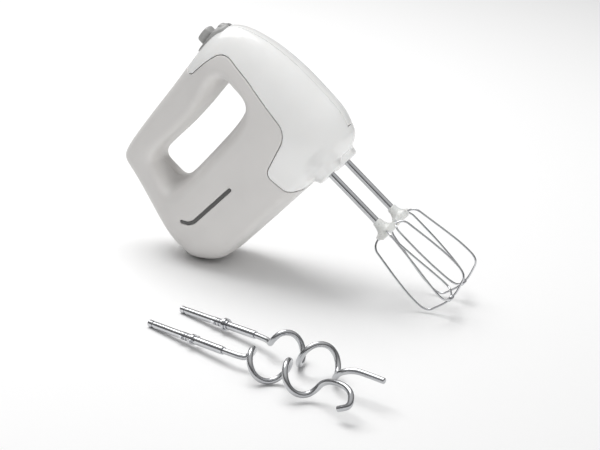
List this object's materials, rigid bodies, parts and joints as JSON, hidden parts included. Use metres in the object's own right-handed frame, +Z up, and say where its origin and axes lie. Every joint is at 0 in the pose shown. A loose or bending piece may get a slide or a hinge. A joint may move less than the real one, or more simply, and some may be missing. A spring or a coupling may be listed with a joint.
{
  "type": "hand mixer",
  "caption": "Electric hand mixer with two wire whisks, resting on its heel and whisks, beside a pair of dough hooks; motor, worm drive, speed slide and ejector inside.",
  "frame": {"origin": "centre of the bounding box, at the height of the surface that the mixer and hooks lie on", "axes": "+Z up, +X horizontally from the heel towards the whisks, +Y to the left of the mixer"},
  "size_m": [0.326, 0.306, 0.2171],
  "materials": {
    "grey_body": "fine satin",
    "white_cover": "soft gloss",
    "control_grey": "satin",
    "slot_dark": "gloss",
    "black_rubber": "matte",
    "steel_screw": "zinc plated",
    "dark_plastic": "matte",
    "board": "semi gloss",
    "film_case": "gloss",
    "gear_frame_nylon": "glass filled",
    "bronze": "sintered",
    "copper": "varnished",
    "lamination": "stacked sheet",
    "shaft_steel": "ground",
    "carbon": "sintered",
    "wheel_acetal": "moulded",
    "whisk_chrome": "bright",
    "hub_nylon": "translucent white",
    "spring_steel": "drawn",
    "fan_plastic": "moulded"
  },
  "bodies": {
    "housing": {"body_left": "grey_body", "body_right": "grey_body", "nose_cover_left": "white_cover", "nose_cover_right": "white_cover", "nose_strip": "white_cover", "slot_inlay_left": "slot_dark", "slot_inlay_right": "slot_dark", "body_screws": "steel_screw", "cord_bush": "black_rubber", "control_plate": "control_grey", "speed_switch": "dark_plastic", "circuit_board": "board", "suppressor": "film_case", "gear_frame": "gear_frame_nylon", "gear_cover": "gear_frame_nylon", "spindle_bushes": "bronze", "worm_bushes": "bronze", "stator_core": "lamination", "field_coils": "copper", "motor_bracket": "dark_plastic", "motor_bush": "bronze", "brush_holders": "dark_plastic", "carbon_brushes": "carbon", "brush_springs": "spring_steel", "motor_studs": "steel_screw", "ejector_spring": "spring_steel"},
    "rotor": {"motor_shaft": "shaft_steel", "armature_core": "lamination", "armature_windings": "copper", "commutator": "copper", "fan": "fan_plastic", "worm": "shaft_steel"},
    "drive_left": {"spindle_left": "shaft_steel", "worm_wheel_left": "wheel_acetal"},
    "drive_right": {"spindle_right": "shaft_steel", "worm_wheel_right": "wheel_acetal"},
    "selector": {"speed_knob": "control_grey", "knob_stem": "dark_plastic"},
    "ejector": {"eject_button": "control_grey", "ejector_rod": "dark_plastic", "ejector_fork": "dark_plastic"},
    "whisk_left": {"whisk_shaft_left": "whisk_chrome", "whisk_hub_left": "hub_nylon", "whisk_tip_left": "whisk_chrome", "whisk_loop_left_1": "whisk_chrome", "whisk_loop_left_2": "whisk_chrome"},
    "whisk_right": {"whisk_shaft_right": "whisk_chrome", "whisk_hub_right": "hub_nylon", "whisk_tip_right": "whisk_chrome", "whisk_loop_right_1": "whisk_chrome", "whisk_loop_right_2": "whisk_chrome"},
    "hook_flanged": {"hook_flanged_shank": "whisk_chrome", "hook_flanged_collar": "whisk_chrome", "hook_flanged_wire": "whisk_chrome"},
    "hook_eared": {"hook_eared_shank": "whisk_chrome", "hook_eared_collar": "whisk_chrome", "hook_eared_wire": "whisk_chrome"}
  },
  "joints": [
    {"name": "rotor_spin", "type": "hinge", "parent": "housing", "child": "rotor", "pos_m": [0.00175, 0.10702, 0.13154], "axis": [0.604, 0, 0.797], "continuous": true},
    {"name": "drive_left_spin", "type": "hinge", "parent": "housing", "child": "drive_left", "pos_m": [0.03761, 0.12802, 0.10436], "axis": [-0.797, 0, 0.604], "continuous": true},
    {"name": "drive_right_spin", "type": "hinge", "parent": "housing", "child": "drive_right", "pos_m": [0.03761, 0.08603, 0.10436], "axis": [-0.797, 0, 0.604], "continuous": true},
    {"name": "whisk_left_pull", "type": "slide", "parent": "drive_left", "child": "whisk_left", "axis": [0.797, 0, -0.604], "range_m": [0, 0.045]},
    {"name": "whisk_right_pull", "type": "slide", "parent": "drive_right", "child": "whisk_right", "axis": [0.797, 0, -0.604], "range_m": [0, 0.045]},
    {"name": "speed_slide", "type": "slide", "parent": "housing", "child": "selector", "axis": [-0.5558, 0, -0.8313], "range_m": [0, 0.008]},
    {"name": "eject_press", "type": "slide", "parent": "housing", "child": "ejector", "axis": [0.797, 0, -0.604], "range_m": [0, 0.004], "stiffness_N_per_m": 800, "springref_m": -0.004},
    {"name": "hook_flanged_lift", "type": "slide", "parent": "housing", "child": "hook_flanged", "axis": [0, 0, 1], "range_m": [0, 0.1]},
    {"name": "hook_eared_lift", "type": "slide", "parent": "housing", "child": "hook_eared", "axis": [0, 0, 1], "range_m": [0, 0.1]}
  ],
  "couplings": [
    {"joint": "drive_left_spin", "follows": "rotor_spin", "ratio": -0.074074},
    {"joint": "drive_right_spin", "follows": "rotor_spin", "ratio": 0.074074}
  ]
}
